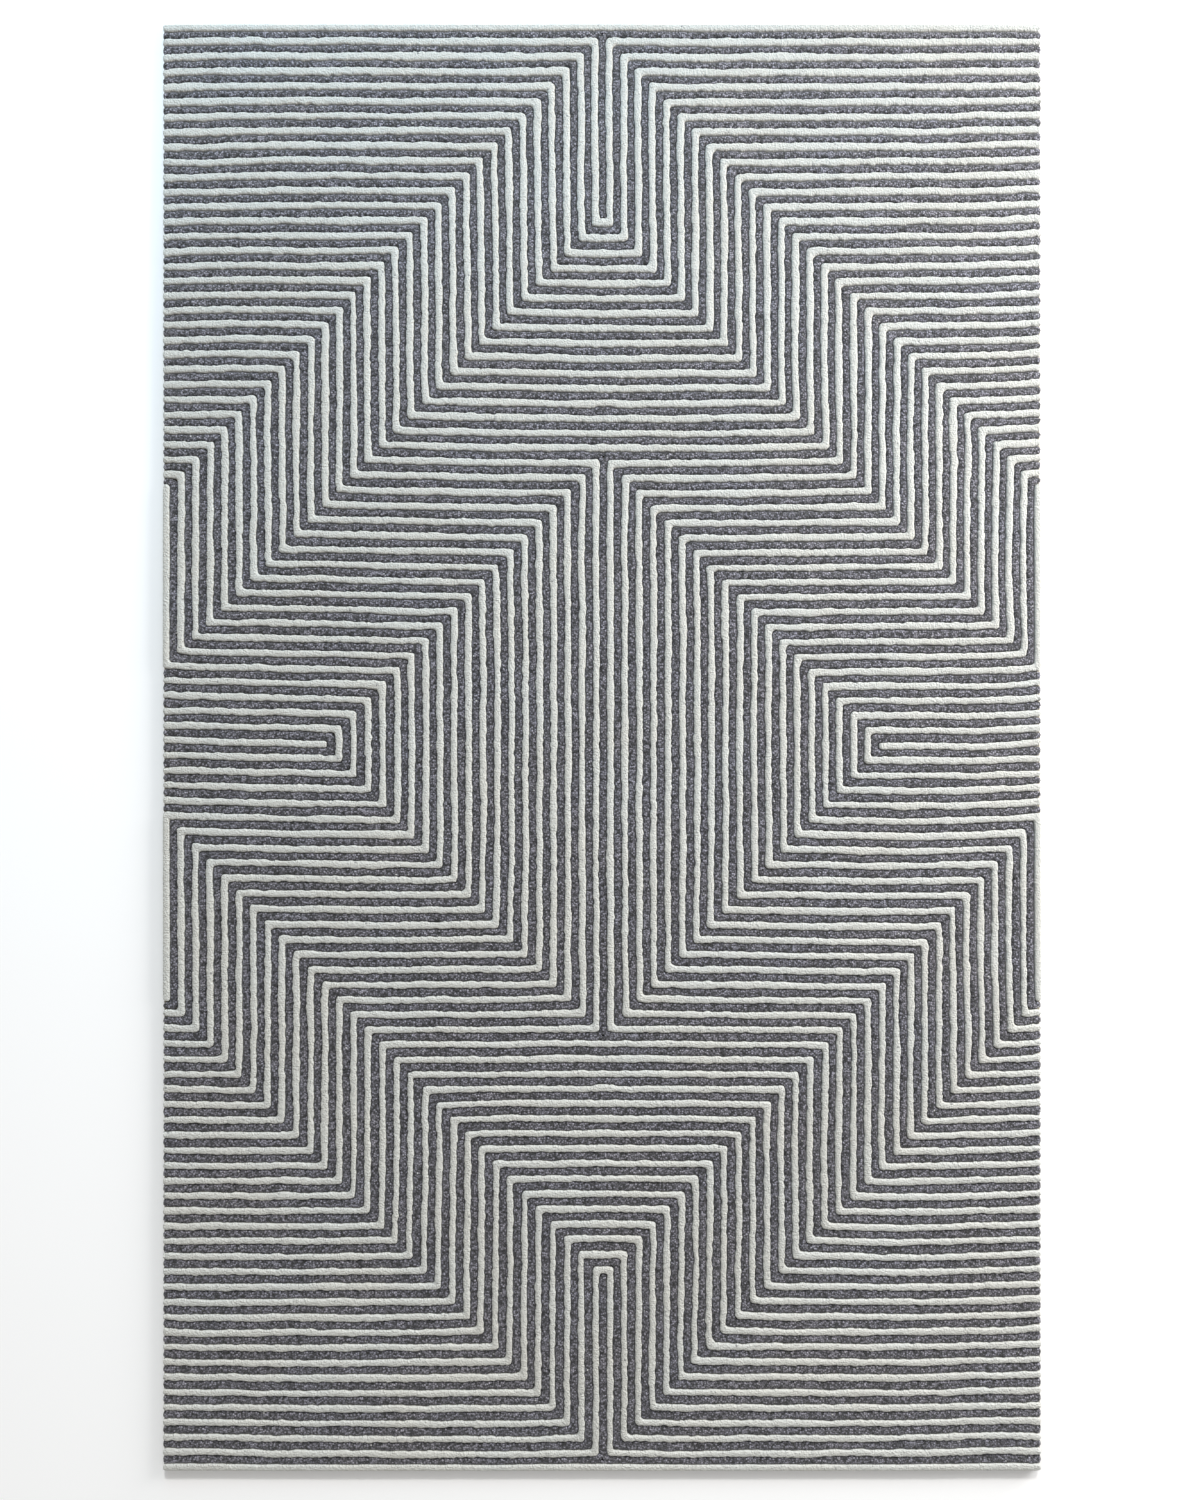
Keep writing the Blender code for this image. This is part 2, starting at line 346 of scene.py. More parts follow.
def make_wool(name, warm, cool, stray, spread, foot_height, top_height, sheen, gloss, relief_depth):
    """Cut wool pile: tufts of uneven shade, stray tufts of the other colour, and painted shade in the grooves
    and in the gaps between tufts.

    warm and cool are its two shades and stray is the stray tufts' colour. spread is how far the shade varies
    from tuft to tuft. The colour carries painted shade: darkest up to foot_height above the floor, none from
    top_height.
    """
    material, tree, shader = new_material(name)
    place = tree.nodes.new("ShaderNodeTexCoord").outputs["Object"]
    upright = stretched(tree, place, (1.0, 1.0, UPRIGHT_STRETCH))
    shade_value, stray_value, middle_distance = tuft_cells(tree, upright, TUFT_SIZE)
    fibres = noise(tree, upright, FIBRE_SCALE, 3.0, 0.7)
    clumps = noise(tree, upright, CLUMP_SCALE, 3.0, 0.65)
    shades = noise(tree, place, SHADE_SCALE, 3.0, 0.55)
    colour = blend_colours(tree, remap(tree, shades, 0.35, 0.65, 0.0, 1.0), warm, cool)
    colour = blend_colours(tree, remap(tree, stray_value, *STRAY_RANGE, 0.0, 0.5), colour, stray)

    shade = remap(tree, shade_value, 0.0, 1.0, 1 - spread, 1 + spread)
    for value, reach in ((fibres, 0.7 * spread), (clumps, 0.35 * spread)):
        shade = combine_values(tree, "MULTIPLY", shade, spread_noise(tree, value, 1 - reach, 1 + reach))
    # Painted shade: the base colour is darkened in the gaps between tufts and towards the groove's foot
    gap_painted_shade = remap(tree, middle_distance, 0.30, 0.70, 1.0, 1 - GAP_PAINTED_SHADE * spread)
    depth = remap(tree, height_of(tree, place), foot_height, top_height, FOOT_PAINTED_SHADE, 1.0)
    shade = combine_values(tree, "MULTIPLY", combine_values(tree, "MULTIPLY", shade, gap_painted_shade), depth)
    tree.links.new(tint(tree, colour, shade), shader.inputs["Base Color"])

    tree.links.new(spread_noise(tree, clumps, 0.70, 0.84), shader.inputs["Roughness"])
    shader.inputs["Specular IOR Level"].default_value = gloss
    shader.inputs["Sheen Weight"].default_value = sheen
    shader.inputs["Sheen Roughness"].default_value = 0.45
    tips = remap(tree, middle_distance, 0.0, 0.7, 1.0, 0.0)
    relief = combine_values(tree, "ADD", tips, combine_values(tree, "MULTIPLY", fibres, 0.6))
    tree.links.new(bump(tree, relief, relief_depth), shader.inputs["Normal"])
    return material


def thread_wave(tree, place, direction, pitch):
    """Rounded threads side by side, from 0 in the gaps to 1 on their backs."""
    wave = add(tree, "ShaderNodeTexWave", Scale=math.pi / (10 * pitch), Distortion=0.0)
    wave.wave_type = "BANDS"
    wave.bands_direction = direction
    tree.links.new(place, wave.inputs["Vector"])
    return wave.outputs["Fac"]


def make_woven(name, thread_colour, painted_gap_shade, pitch, kind, relief):
    """Woven cloth with uneven threads and painted shade in the gaps between them. kind is plain for a canvas
    or twill for a tape.
    """
    material, tree, shader = new_material(name)
    place = tree.nodes.new("ShaderNodeTexCoord").outputs["Object"]
    slubs = noise(tree, stretched(tree, place, (1.0, 0.06, 1.0)), 0.6 / pitch, 2.0, 0.6)
    fibres = noise(tree, place, 3.0 / pitch, 3.0, 0.7)
    marks = noise(tree, place, 9.0, 4.0, 0.6)
    if kind == "plain":
        over = add(tree, "ShaderNodeTexChecker", Scale=1.0 / pitch)
        tree.links.new(place, over.inputs["Vector"])
        warp, weft = (thread_wave(tree, place, direction, pitch) for direction in ("X", "Y"))
        height = blend_values(tree, over.outputs["Fac"], warp, weft)
    else:
        height = thread_wave(tree, place, "DIAGONAL", pitch)
    height = combine_values(tree, "ADD", height, spread_noise(tree, slubs, -0.25, 0.25))
    # Painted shade: the colour darkens from the threads' backs into the gaps between them
    shown = remap(tree, height, 0.1, 0.8, 0.0, 1.0)
    colour = blend_colours(tree, shown, painted_gap_shade, thread_colour)
    fibre_shade = spread_noise(tree, fibres, 0.86, 1.12)
    mark_shade = spread_noise(tree, marks, 0.93, 1.05)
    shade = combine_values(tree, "MULTIPLY", fibre_shade, mark_shade)
    tree.links.new(tint(tree, colour, shade), shader.inputs["Base Color"])
    tree.links.new(spread_noise(tree, fibres, 0.78, 0.95), shader.inputs["Roughness"])
    shader.inputs["Specular IOR Level"].default_value = 0.2
    tree.links.new(bump(tree, combine_values(tree, "ADD", height, fibres), relief), shader.inputs["Normal"])
    return material


def make_rubber(name, colour, dark):
    """Foamed latex: creamy, with flow marks and small pits that carry painted shade."""
    material, tree, shader = new_material(name)
    place = tree.nodes.new("ShaderNodeTexCoord").outputs["Object"]
    pits = add(tree, "ShaderNodeTexVoronoi", Scale=420.0)
    tree.links.new(place, pits.inputs["Vector"])
    flow = noise(tree, place, 26.0, 4.0, 0.6)
    fine = noise(tree, place, 600.0, 2.0, 0.5)
    mixed = blend_colours(tree, remap(tree, flow, 0.35, 0.65, 0.0, 1.0), dark, colour)
    # Painted shade: the colour darkens in the pits
    shade = remap(tree, pits.outputs["Distance"], 0.0, 0.4, 0.82, 1.0)
    tree.links.new(tint(tree, mixed, shade), shader.inputs["Base Color"])
    tree.links.new(spread_noise(tree, fine, 0.55, 0.75), shader.inputs["Roughness"])
    relief = combine_values(tree, "ADD", pits.outputs["Distance"], flow)
    tree.links.new(bump(tree, relief, 0.0006), shader.inputs["Normal"])
    return material


def make_thread_yarn(name, colour, dark):
    """Sewing thread: a tight twist of pale plies, with painted shade in the grooves between them."""
    material, tree, shader = new_material(name)
    place = tree.nodes.new("ShaderNodeTexCoord").outputs["Object"]
    twist = thread_wave(tree, place, "DIAGONAL", 0.0009)
    fuzz = noise(tree, place, 2500.0, 2.0, 0.6)
    # Painted shade: the colour darkens in the grooves between the plies
    mixed = blend_colours(tree, remap(tree, twist, 0.0, 0.6, 0.0, 1.0), dark, colour)
    tree.links.new(tint(tree, mixed, spread_noise(tree, fuzz, 0.88, 1.1)), shader.inputs["Base Color"])
    tree.links.new(spread_noise(tree, fuzz, 0.6, 0.8), shader.inputs["Roughness"])
    tree.links.new(bump(tree, twist, 0.0002), shader.inputs["Normal"])
    return material


def make_looks():
    """Every material, by its slot's name."""
    wools = {
        "ivory_wool": dict(
            warm=(0.560, 0.553, 0.512),
            cool=(0.551, 0.557, 0.528),
            stray=(0.10, 0.10, 0.115),
            spread=0.055,
            foot_height=0.0070,
            top_height=0.0105,
            sheen=0.20,
            gloss=0.18,
            relief_depth=0.0014,
        ),
        "grey_wool": dict(
            warm=(0.184, 0.174, 0.199),
            cool=(0.168, 0.165, 0.199),
            stray=(0.51, 0.51, 0.48),
            spread=1.0,
            foot_height=0.0085,
            top_height=0.0122,
            sheen=0.30,
            gloss=0.60,
            relief_depth=0.0022,
        ),
    }
    # (thread colour, painted shade colour in the gaps, pitch of the threads, kind of weave, depth of the
    # relief)
    weaves = {
        "primary_cloth": ((0.58, 0.53, 0.42), (0.20, 0.17, 0.13), 0.0013, "plain", 0.0005),
        "backing_canvas": ((0.60, 0.54, 0.42), (0.25, 0.21, 0.15), 0.0011, "plain", 0.0004),
        "hem_tape": ((0.52, 0.45, 0.33), (0.22, 0.18, 0.12), 0.0014, "twill", 0.0004),
        "scrim": ((0.66, 0.65, 0.60), (0.10, 0.09, 0.08), 0.0040, "plain", 0.0008),
    }
    looks = {name: make_wool(name, **values) for name, values in wools.items()}
    looks.update({name: make_woven(name, *values) for name, values in weaves.items()})
    looks["latex"] = make_rubber("latex", (0.72, 0.67, 0.54), (0.60, 0.54, 0.41))
    looks["hem_thread"] = make_thread_yarn("hem_thread", (0.74, 0.70, 0.60), (0.42, 0.38, 0.30))
    return looks


LOOKS = make_looks()


# ------------------------------------------------------------------------------------ the maze


def end_path(m, straight, inset):
    """One side of an end line, left to right: its corners in steps, with the side edge moved in by inset."""
    edge = HALF_WIDTH_STEPS - inset
    outer = LAST_LINE + NEST_DEPTH - m
    inner = LAST_LINE - m
    reach = m - BEND_SHIFT
    if straight:
        return [(-edge, outer), (0, outer), (edge, outer)]
    dip = [(-reach, outer), (-reach, inner), (0, inner), (reach, inner), (reach, outer)]
    return [(-edge, outer), *dip, (edge, outer)]


def side_path(m, from_nest, inset):
    """One side of a right-hand line, top to bottom, in steps. from_nest starts it inside the side nest."""
    edge = HALF_WIDTH_STEPS - inset
    outer = LAST_LINE + NEST_DEPTH - m
    inner = LAST_LINE - m
    reach = m - BEND_SHIFT
    foot = reach - NEST_REACH
    if from_nest:
        upper = [(edge, inner), (foot, inner)]
    else:
        upper = [(edge, outer), (reach, outer), (reach, inner), (foot, inner)]
    return upper + [(u, -v) for u, v in reversed(upper)]


def grooves_of(m):
    """The numbers of the grooves on both sides of line m."""
    return m - HALF_LINE, m + HALF_LINE


def line_outline(m, family, inset):
    """Line m's outline drawn in by inset: (its corners in steps, the number of each corner's groove)."""
    low, high = grooves_of(m)
    if family == "end":
        first = end_path(low + inset, low <= BEND_SHIFT, inset)
        second = end_path(high - inset, high <= BEND_SHIFT, inset)[::-1]
    else:
        first = side_path(low + inset, low - BEND_SHIFT >= HALF_WIDTH_STEPS, inset)
        second = side_path(high - inset, high - BEND_SHIFT >= HALF_WIDTH_STEPS, inset)[::-1]
    if m == LAST_LINE:
        return np.array(first), np.full(len(first), low)
    return np.array(first + second), np.array([low] * len(first) + [high] * len(second))


def centre_outline(inset):
    """The outline of the grey piece where all four families meet, as line_outline gives it."""
    low, high = grooves_of(MEETING_LINE)
    end = end_path(low + inset, False, inset)
    side = side_path(high - inset, False, inset)
    far_end = [(u, -v) for u, v in reversed(end)]
    far_side = [(-u, v) for u, v in reversed(side)]
    grooves = [low] * len(end) + [high] * len(side) + [low] * len(end) + [high] * len(side)
    return np.array(end + side + far_end + far_side), np.array(grooves)


# ------------------------------------------------------------------------------------ pile meshes


def wander(xy, waves, key, seed):
    """How far points stand off their drawn places, in metres, the same for points with the same key."""
    off = np.zeros_like(xy)
    for reach, size in waves:
        for axis in (0, 1):
            off[:, axis] += reach * noise_at(xy, key, size, seed + axis)
        seed += 2
    return off


def calm_edges(xy, off):
    """Keep the rug's own outline straight: near an edge, points move along it but hardly across it."""
    half = np.array([CAD_HIGH.x, CAD_HIGH.y])
    away = np.clip((half - np.abs(xy)) / EDGE_CALM, 0.0, 1.0)
    return off * (EDGE_LEFTOVER + (1 - EDGE_LEFTOVER) * away * away * (3 - 2 * away))


def drift(xy):
    """The slow shift of the whole pattern. High powers keep a lift to its own side of the rug."""
    across, along = (xy / np.array([CAD_HIGH.x, CAD_HIGH.y])).T
    inner = 1 - across**4
    left = np.clip(-across, 0, 1) ** 4 * (1 - along**2) ** 3
    right = np.clip(across, 0, 1) ** 8 * (1 - along**4) * (1 + RIGHT_LIFT_UPWARD * along)
    peak = 1 - FADE_FROM_PEAK * (along - LIFT_PEAK) ** 2
    middle = inner * (HALF_WAY_SHARE - FADE_TO_RIGHT * across) * peak
    centre = -np.sin(math.pi * along) * np.clip(1 - across**2, 0, 1) ** 4
    lift = MIDDLE_LIFT * middle + LEFT_LIFT * left + RIGHT_LIFT * right + CENTRE_PINCH * centre
    return np.column_stack([SIDE_SHIFT * inner * (1 - along**2), lift])


def divide(corners, counts):
    """Points along a closed outline, each side split into its own count of rows."""
    points = []
    for i, count in enumerate(counts):
        start = corners[i]
        end = corners[(i + 1) % len(corners)]
        share = (np.arange(count) / count)[:, None]
        points.append(start + (end - start) * share)
    return np.concatenate(points)


def soften_corners(places):
    """Points of a closed ring, each drawn towards its neighbours, which rounds the ring's corners."""
    for _ in range(CORNER_PASSES):
        places = places / 2 + (np.roll(places, 1, axis=0) + np.roll(places, -1, axis=0)) / 4
    return places


def row_counts(outline):
    """How many rows each side of a line's outline is split into. Facing sides get the same count."""
    crown = outline(HALF_LINE)[0] * (STEP_X, STEP_Y)
    rim = outline(0.0)[0] * (STEP_X, STEP_Y)
    counts = []
    for i in range(len(crown)):
        j = (i + 1) % len(crown)
        along = np.linalg.norm(crown[j] - crown[i])
        if along < SAME_PLACE:
            along = np.linalg.norm(rim[j] - rim[i])
        counts.append(max(2, round(along / ROW_LENGTH)))
    return counts


def rings_of(outline, mirror):
    """One line's rings from its foot up to the crown: (share of its half width, places, groove numbers)."""
    counts = row_counts(outline)
    shares = [FOOT_SHARE] + [share for share, depth in SECTION]
    mirror = np.array(mirror) * (STEP_X, STEP_Y)
    rings = []
    for share in shares:
        corners, grooves = outline(share * HALF_LINE)
        places = soften_corners(divide(corners, counts)) * mirror
        rings.append((share, places, divide(grooves[:, None], counts)[:, 0]))
    return rings


def stack_rings(rings, top, base):
    """Every point of a line, foot first and underside last: (places, heights, shares, groove numbers)."""
    count = len(rings[0][1])
    depths = [top - base] + [depth for share, depth in SECTION]
    heights = [top - depth for depth in depths] + [base]
    shares, places, grooves = zip(*rings, rings[-1])
    places, grooves = np.concatenate(places), np.concatenate(grooves)
    return places, np.repeat(heights, count), np.repeat(shares, count), grooves


def strips_between(rings):
    """The quads between each ring of point numbers and the next."""
    following = np.roll(rings, -1, axis=1)
    strips = [
        np.column_stack([rings[i], following[i], following[i + 1], rings[i + 1]])
        for i in range(len(rings) - 1)
    ]
    return np.concatenate(strips)


def line_mesh(outline, middles, mirror, top, base, colour):
    """One line of pile as a closed solid: its points and its faces, as arrays of four indices."""
    rings = rings_of(outline, mirror)
    xy, z, shares, grooves = stack_rings(rings, top, base)
    width = np.tile(rings[-1][1] - rings[0][1], (len(rings) + 1, 1))
    to_ivory = width if colour == "ivory" else -width
    moved = move_points(xy, shares, grooves, middles, to_ivory)
    points = np.column_stack([moved, lift_points(xy, z, top, base)])

    numbers = np.arange(len(points)).reshape(len(rings) + 1, -1)
    faces = np.concatenate([strips_between(numbers[:-1]), strips_between(numbers[[-1, 0]])])
    crown = numbers[-2:].ravel()
    index = np.arange(len(points))
    index[crown] = crown[join_facing(xy[crown], z[crown])]
    return points, index[faces]


def join_facing(xy, z):
    """The two sides of a line meet along its crown. For each point, the first one at the same place."""
    off_round_numbers = 0.37
    keys = np.round(np.column_stack([xy, z]) / SAME_PLACE + off_round_numbers).astype(np.int64)
    _, kept, which = np.unique(keys, axis=0, return_index=True, return_inverse=True)
    return kept[which.reshape(-1)]


def move_points(xy, shares, grooves, middles, to_ivory):
    """Let the lines wander together and each groove by itself. to_ivory leads from groove to ivory crown."""
    own = wander(xy, OWN_WANDER, grooves, OWN_SEED)
    middle = sum(wander(xy, OWN_WANDER, groove, OWN_SEED) for groove in middles) / len(middles)
    off = own * (1 - shares[:, None]) + middle * shares[:, None]
    off += wander(xy, SHARED_WANDER, 0, SHARED_SEED)
    narrowing = IVORY_NARROWING - IVORY_TAPER * xy[:, 1:] / CAD_HIGH.y
    off += narrowing * (1 - shares[:, None]) * to_ivory
    return xy + calm_edges(xy, off + drift(xy))


def lift_points(xy, z, top, base):
    """Uneven shearing, which shows more towards the pile's top."""
    share = (z - base) / (top - base)
    lift = np.zeros(len(xy))
    for seed, (rise, size) in enumerate(UNEVEN_TOP):
        lift += rise * noise_at(xy, 0, size, TOP_SEED + seed)
    return z + lift * share


def faces_out(points, faces):
    """Turn the faces of a closed solid over if they point in."""
    a, b, c, d = (points[faces[:, i]] for i in range(4))
    volume = np.sum(a * np.cross(b, c)) + np.sum(a * np.cross(c, d))
    return faces if volume > 0 else faces[:, ::-1]


def mesh_object(name, points, faces):
    """A mesh piece from arrays, without the faces that closed to a line at a corner."""
    kept_points, faces = np.unique(faces, return_inverse=True)
    faces = faces.reshape(-1, 4)
    points = points[kept_points]
    doubled = faces == np.roll(faces, -1, axis=1)
    whole = ~doubled.any(axis=1)
    quads = faces[whole]
    cornered = doubled.sum(axis=1) == 1
    tris = faces[cornered][~doubled[cornered]].reshape(-1, 3)
    loops = np.concatenate([quads.ravel(), tris.ravel()])
    sizes = np.concatenate([np.full(len(quads), 4), np.full(len(tris), 3)])
    starts = np.concatenate([[0], np.cumsum(sizes)[:-1]])
    mesh = bpy.data.meshes.new(name)
    mesh.vertices.add(len(points))
    mesh.vertices.foreach_set("co", points.astype(np.float32).ravel())
    mesh.loops.add(len(loops))
    mesh.loops.foreach_set("vertex_index", loops.astype(np.int32))
    mesh.polygons.add(len(sizes))
    mesh.polygons.foreach_set("loop_start", starts.astype(np.int32))
    mesh.polygons.foreach_set("loop_total", sizes.astype(np.int32))
    mesh.polygons.foreach_set("use_smooth", np.ones(len(sizes), dtype=bool))
    mesh.update(calc_edges=True)
    mesh.validate()
    piece = bpy.data.objects.new(name, mesh)
    bpy.context.scene.collection.objects.link(piece)
    return piece


def pile_piece(node, lines):
    """The visible pile of one CAD node. lines holds (outline function, its grooves, mirror) for each line."""
    low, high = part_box(node)
    colour = node.split("_")[0]
    points, faces, count = [], [], 0
    for outline, middles, mirror in lines:
        line_points, line_faces = line_mesh(outline, middles, mirror, high.z, low.z, colour)
        points.append(line_points)
        faces.append(faces_out(line_points, line_faces) + count)
        count += len(line_points)
    piece = mesh_object(node + "_tufts", np.concatenate(points), np.concatenate(faces))
    return dress(piece, node, colour + "_wool")


def dress(piece, node, slot):
    """Put a visual piece in place of its CAD node, with its slot's look."""
    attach(piece, "root")
    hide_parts(node)
    piece.data.materials.append(LOOKS[slot])
    return piece


def line_of(m, family, mirror):
    """What pile_piece needs to know about line m."""
    grooves = grooves_of(m)[:1] if m == LAST_LINE else grooves_of(m)
    return (lambda inset: line_outline(m, family, inset)), grooves, mirror


def groups_of(lines):
    """Split a list of lines into groups, outermost first, as the CAD nodes hold them."""
    return [lines[i:i + LINES_IN_A_GROUP] for i in range(0, len(lines), LINES_IN_A_GROUP)]


def make_pile(colour, lines):
    """Every grouped line of one colour."""
    end_lines = [m for m in lines if m < MEETING_LINE]
    side_lines = [m for m in lines if m > MEETING_LINE]
    families = (
        ("top", "end", end_lines, (1, 1)),
        ("bottom", "end", end_lines, (1, -1)),
        ("left", "side", side_lines, (-1, 1)),
        ("right", "side", side_lines, (1, 1)),
    )
    pieces = []
    for place, family, members, mirror in families:
        for number, group in enumerate(groups_of(members), start=1):
            node = f"{colour}_pile_{place}_{number}"
            pieces.append(pile_piece(node, [line_of(m, family, mirror) for m in group]))
    return pieces


def make_all_pile():
    """The ivory and the grey pile, with the end strips and the piece in the middle."""
    pieces = make_pile("ivory", range(1, LAST_LINE + 1))
    pieces += make_pile("grey", [n + 0.5 for n in range(LAST_LINE)])
    pieces.append(pile_piece("ivory_pile_edge_top", [line_of(0, "end", (1, 1))]))
    pieces.append(pile_piece("ivory_pile_edge_bottom", [line_of(0, "end", (1, -1))]))
    centre = (centre_outline, grooves_of(MEETING_LINE), (1, 1))
    pieces.append(pile_piece("grey_pile_centre", [centre]))
    return pieces


# ------------------------------------------------------------------------------------ cloth and thread


def ring_round(inset, counts):
    """Points round the rug at an inset from its edge, each side split into its own count of rows."""
    x, y = CAD_HIGH.x - inset, CAD_HIGH.y - inset
    return divide(np.array([(-x, -y), (x, -y), (x, y), (-x, y)]), counts)


def make_primary_cloth():
    """The tufted cloth: flat under the pile, rolled over the rug's edge and turned in under it."""
    node = "primary_cloth"
    low, high = (corner.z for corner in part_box(node))
    roll = ROLL_RADIUS
    bend = ROLL_BEND * roll
    outer = [(TURNED_MARGIN, low), (roll, low), (bend, low + bend), (0.0, low + roll)]
    outer += [(0.0, high - roll), (bend, high - bend), (roll, high), (TURNED_MARGIN, high)]
    inner = [(TURNED_MARGIN, high - CLOTH), (roll, high - CLOTH), (CLOTH, high - roll)]
    inner += [(CLOTH, low + roll), (roll, low + CLOTH), (TURNED_MARGIN, low + CLOTH)]
    counts = [round(2 * CAD_HIGH.x / CLOTH_ROW), round(2 * CAD_HIGH.y / CLOTH_ROW)] * 2
    points = []
    for inset, z in outer + inner:
        ring = ring_round(inset, counts)
        ripple = RIPPLE * noise_at(ring, 0, RIPPLE_SIZE, EDGE_RIPPLE_SEED) * (inset < roll)
        ring = ring * (1 - ripple)[:, None]
        points.append(np.column_stack([ring, np.full(len(ring), z)]))
    count = len(points[0])
    rings = np.arange(len(points) * count).reshape(len(points), count)
    outer_rings, inner_rings = rings[:len(outer)], rings[len(outer):]
    back_to_first = np.concatenate([inner_rings, rings[:1]])
    quads = np.concatenate([strips_between(outer_rings), strips_between(back_to_first)])
    caps = [list(outer_rings[-1]), list(inner_rings[0][::-1])]
    mesh = bpy.data.meshes.new(node + "_weave")
    mesh.from_pydata(np.concatenate(points).tolist(), [], quads.tolist() + caps)
    mesh.shade_smooth()
    piece = bpy.data.objects.new(node + "_weave", mesh)
    bpy.context.scene.collection.objects.link(piece)
    return dress(piece, node, "primary_cloth")


def thin_piece(node, slot, place, along, across, rise):
    """A thin, slightly uneven piece in place of a CAD node. place(s, t) turns shares of it into metres."""
    low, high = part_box(node)
    s, t = np.meshgrid(np.linspace(0, 1, along + 1), np.linspace(0, 1, across + 1), indexing="ij")
    xy = place(s.ravel(), t.ravel())
    rim = np.minimum.reduce([s, 1 - s, t, 1 - t]).ravel() == 0
    unevenness = np.ones(len(xy))
    for share, size, seed in LAYER_DENTS:
        unevenness += share * noise_at(xy, 0, size, seed)
    dent = rise * unevenness / 2
    dent = np.where(rim, dent + rise / 2, dent)
    upper = np.column_stack([xy, high.z - dent])
    lower = np.column_stack([xy, low.z + dent])
    grid = np.arange(len(xy)).reshape(along + 1, across + 1)
    top = np.stack([grid[:-1, :-1], grid[1:, :-1], grid[1:, 1:], grid[:-1, 1:]], axis=-1).reshape(-1, 4)
    border = np.concatenate([grid[:-1, 0], grid[-1, :-1], grid[:0:-1, -1], grid[0, :0:-1]])
    wall = strips_between(np.array([border, border + len(xy)]))
    faces = np.concatenate([top, top[:, ::-1] + len(xy), wall[:, ::-1]])
    points = np.concatenate([upper, lower])
    piece = mesh_object(node + "_shape", points, faces_out(points, faces))
    return dress(piece, node, slot)


def make_flat_layer(node, slot, rise):
    """A rectangular layer under the pile."""
    low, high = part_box(node)

    def place(s, t):
        return np.column_stack([low.x + (high.x - low.x) * s, low.y + (high.y - low.y) * t])

    along = round((high.x - low.x) / LAYER_ROW)
    across = round((high.y - low.y) / LAYER_ROW)
    return thin_piece(node, slot, place, along, across, rise)


def make_hem_tape(side):
    """One mitred tape of the hem, along the underside's edge."""
    node = "hem_tape_" + side
    low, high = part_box(node)
    upright = side in ("left", "right")
    flip = -1 if side in ("left", "bottom") else 1
    half_length = high.y if upright else high.x
    reach = max(high.x, -low.x) if upright else max(high.y, -low.y)

    def place(s, t):
        along = (2 * s - 1) * (half_length - t * TAPE_WIDTH)
        wave = noise_at(np.column_stack([along, 0 * t]), 0, TAPE_WAVE_SIZE, TAPE_SEED)
        out = flip * (reach - t * TAPE_WIDTH - TAPE_WAVE * (1 + wave) * (1 - t))
        return np.column_stack([out, along] if upright else [along, out])

    return thin_piece(node, "hem_tape", place, round(2 * half_length / CLOTH_ROW), TAPE_ROWS, TAPE_SINK)


def tubes(paths, radii):
    """Round threads along many paths of the same count of points, tapered by radii: (points, faces)."""
    ahead = np.gradient(paths, axis=1)
    ahead /= np.linalg.norm(ahead, axis=2, keepdims=True)
    across = np.cross(ahead, (0.0, 0.0, 1.0))
    across /= np.maximum(np.linalg.norm(across, axis=2, keepdims=True), 1e-9)
    upward = np.cross(across, ahead)
    turn = np.arange(THREAD_SIDES) * 2 * math.pi / THREAD_SIDES
    round_off = across[:, :, None] * np.cos(turn)[:, None] + upward[:, :, None] * np.sin(turn)[:, None]
    points = paths[:, :, None] + round_off * radii[None, :, None, None]
    numbers = np.arange(points[..., 0].size).reshape(points.shape[:3])
    numbers[:, 0] = numbers[:, 0, :1]
    numbers[:, -1] = numbers[:, -1, :1]
    following = np.roll(numbers, -1, axis=2)
    faces = np.stack([numbers[:, :-1], following[:, :-1], following[:, 1:], numbers[:, 1:]], axis=-1)
    return points.reshape(-1, 3), faces.reshape(-1, 4)


def along_side(side, along, inset, z):
    """Places along one side of the rug: along it, in from its edge, and up."""
    if side in ("left", "right"):
        x = CAD_HIGH.x - inset
        return np.stack([x if side == "right" else -x, along, z], axis=-1)
    y = CAD_HIGH.y - inset
    return np.stack([along, y if side == "top" else -y, z], axis=-1)


def overcast_path(side, half):
    """The thread over the hem's outer edge: back and forth between the cloth's edge and the tape."""
    count = round(2 * half / STITCH_PITCH)
    step = 2 * half / count
    starts = -half + step * np.arange(count)
    jitter = noise_at(np.column_stack([starts, starts]), 0, STITCH_JITTER_SIZE, STITCH_SEED)
    jitter = 1 + STITCH_JITTER * jitter
    along = (starts[:, None] + step * np.array(OVERCAST_SHARES)).ravel()
    inset = (jitter[:, None] * OVERCAST_INSETS).ravel()
    return along_side(side, along, inset, np.tile(OVERCAST_HEIGHTS, count))[None]


def running_paths(side, half):
    """The short stitches that hold the tape's inner edge."""
    count = round(2 * half / STITCH_PITCH)
    middles = -half + 2 * half * (np.arange(count) + 0.5) / count
    along = middles[:, None] + np.array(RUNNING_SHARES) * STITCH_LENGTH / 2
    inset = np.full(along.shape, TAPE_INSET + TAPE_WIDTH - RUNNING_INSET)
    height = np.broadcast_to(RUNNING_HEIGHTS, along.shape)
    return along_side(side, along, inset, height)


def make_hem_thread(side):
    """The hem's thread along one side: the overcast edge and the running stitches."""
    node = "hem_thread_" + side
    reach = CAD_HIGH.y if side in ("left", "right") else CAD_HIGH.x
    edge = overcast_path(side, reach - HEM_CORNER)
    edge_radii = np.full(edge.shape[1], THREAD_RADIUS)
    stitch_radii = THREAD_RADIUS * np.array(RUNNING_RADII)
    edge_points, edge_faces = tubes(edge, edge_radii)
    points, faces = tubes(running_paths(side, reach - TAPE_INSET - TAPE_WIDTH), stitch_radii)
    faces = np.concatenate([edge_faces, faces + len(edge_points)])
    points = np.concatenate([edge_points, points])
    piece = mesh_object(node + "_stitches", points, faces_out(points, faces))
    return dress(piece, node, "hem_thread")


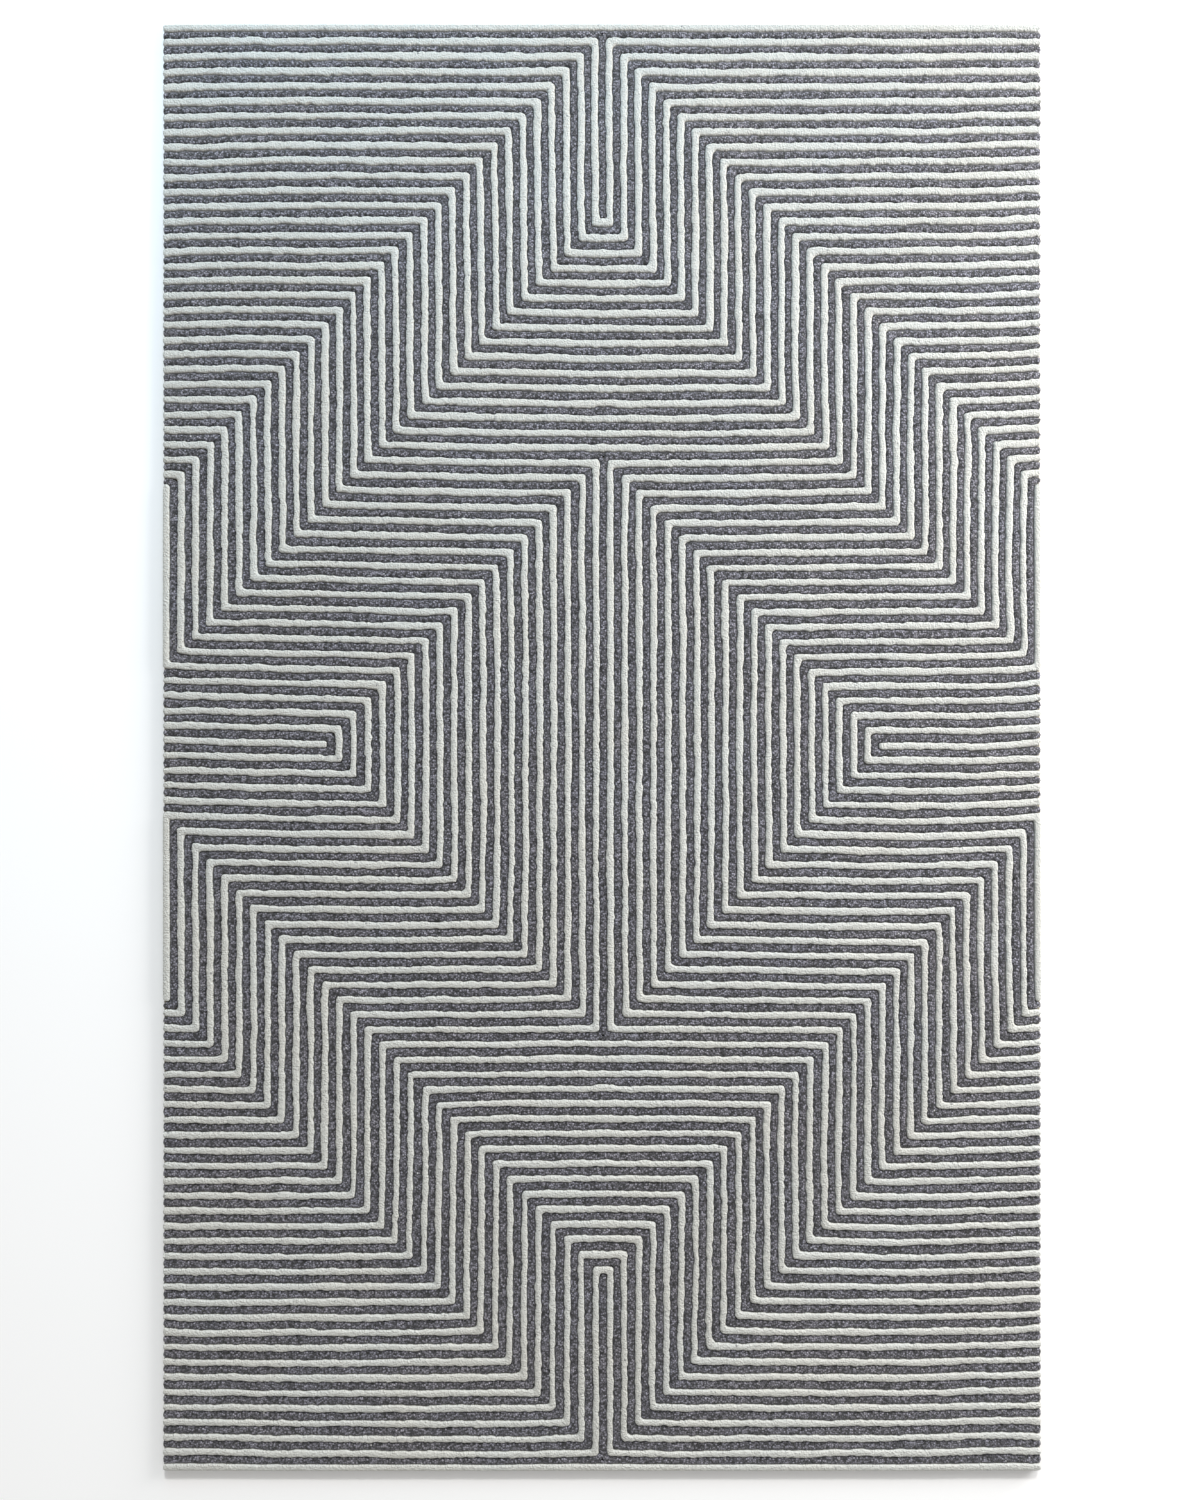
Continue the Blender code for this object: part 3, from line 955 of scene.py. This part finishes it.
def make_cloth(pile):
    """Every layer under the pile, and the hem's tapes and thread."""
    cloth = make_primary_cloth()
    backing = make_flat_layer("backing_cloth", "backing_canvas", LAYER_SINK)
    scrim = make_flat_layer("scrim_cloth", "scrim", LAYER_SINK / 2)
    make_flat_layer("latex_coat", "latex", LAYER_SINK)
    make_flat_layer("adhesive_coat", "latex", LAYER_SINK)
    tapes = [make_hem_tape(side) for side in SIDES]
    threads = [make_hem_thread(side) for side in SIDES]


# ------------------------------------------------------------------------------------ studio


def make_camera():
    """Straight down over the rug, with the rug a little above and right of the picture's middle."""
    data = bpy.data.cameras.new("camera")
    data.sensor_width = SENSOR
    data.lens = LENS
    camera = bpy.data.objects.new("camera", data)
    camera.location = (CAMERA_X, CAMERA_Y, CAD_HIGH.z + SEEN_LENGTH * LENS / SENSOR)
    bpy.context.scene.collection.objects.link(camera)
    bpy.context.scene.camera = camera


def make_floor():
    """A plain pale floor, just under the rug."""
    bpy.ops.mesh.primitive_plane_add(size=FLOOR_SIZE, location=(0, 0, CAD_LOW.z - FLOOR_DROP))
    floor = bpy.context.object
    floor.name = "floor"
    material, tree, shader = new_material("floor_paint")
    shader.inputs["Base Color"].default_value = (0.98, 0.98, 0.98, 1.0)
    shader.inputs["Roughness"].default_value = 0.9
    floor.data.materials.append(material)


def make_surround():
    """Soft light from all round, brighter towards the horizon so that the floor fades into it."""
    world = bpy.data.worlds.new("surround")
    world.use_nodes = True
    tree = world.node_tree
    background = tree.nodes["Background"]
    background.inputs["Color"].default_value = (1.0, 0.99, 0.97, 1.0)
    direction = tree.nodes.new("ShaderNodeTexCoord").outputs["Generated"]
    strength = remap(tree, height_of(tree, direction), 0.0, OVERHEAD_FROM, HORIZON_LIGHT, OVERHEAD_LIGHT)
    tree.links.new(strength, background.inputs["Strength"])
    bpy.context.scene.world = world


def add_light(name, kind, place, power, colour):
    """A light aimed at the rug's middle."""
    data = bpy.data.lights.new(name, kind)
    data.energy = power
    data.color = colour
    light = bpy.data.objects.new(name, data)
    light.location = place
    light.rotation_mode = "QUATERNION"
    light.rotation_quaternion = (-Vector(place)).to_track_quat("-Z", "Y")
    bpy.context.scene.collection.objects.link(light)
    return data


def make_light():
    """Low daylight from beyond the rug's top end, a large window at the right and a cool skylight."""
    make_surround()
    day = add_light("day", "SUN", place=(0.10, 1.0, 0.62), power=1.5, colour=(1.0, 0.985, 0.96))
    day.angle = math.radians(5)
    window = add_light("window", "AREA", place=(2.6, 1.1, 0.9), power=135.0, colour=(1.0, 0.99, 0.99))
    window.size = 1.8
    skylight = add_light("skylight", "AREA", place=(-0.6, 2.2, 1.1), power=26.0, colour=(0.50, 0.78, 1.0))
    skylight.size = 1.6
    bpy.context.scene.view_settings.view_transform = "Standard"


make_cloth(make_all_pile())
make_camera()
make_floor()
make_light()
